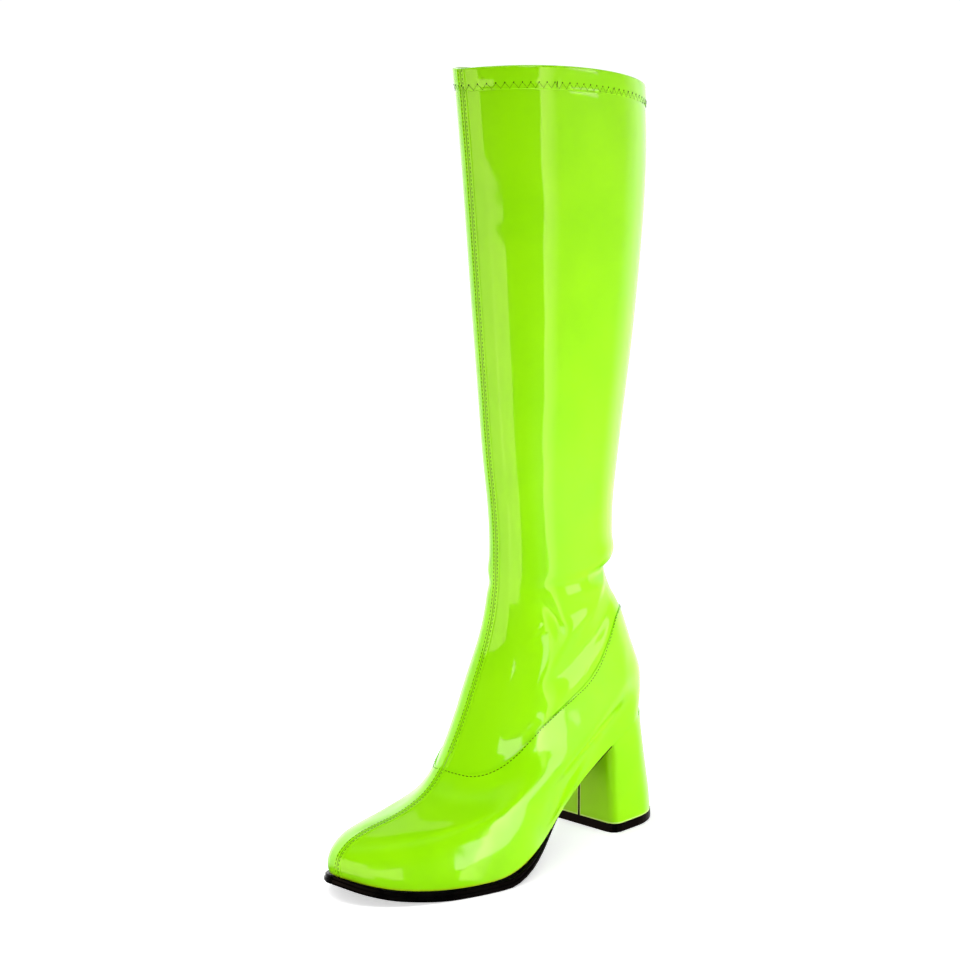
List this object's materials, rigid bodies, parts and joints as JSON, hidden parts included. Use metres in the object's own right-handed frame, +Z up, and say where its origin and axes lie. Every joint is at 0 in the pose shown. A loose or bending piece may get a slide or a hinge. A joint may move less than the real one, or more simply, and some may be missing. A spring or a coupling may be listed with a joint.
{
  "type": "go go boot",
  "caption": "Knee-high go go boot for the left foot: stretch patent upper with front seam, curved side seam and stitched hem, on a covered block heel.",
  "frame": {"origin": "on the floor, at the middle of the heel's resting face", "axes": "+Z up along the shaft, -Y toward the toe, +X toward the outer side of the leg"},
  "size_m": [0.0847, 0.2363, 0.4401],
  "materials": {
    "patent": "bright lime patent, glossy, lightly rippled",
    "black_rubber": "black, satin edge",
    "heel_cover": "lime patent cover, glossy",
    "lift_rubber": "black, dull",
    "sock": "plain light grey sock lining"
  },
  "bodies": {
    "root": {"upper": "patent", "outsole": "black_rubber", "heel_block": "heel_cover", "heel_lift": "lift_rubber", "insole": "sock"}
  },
  "joints": []
}
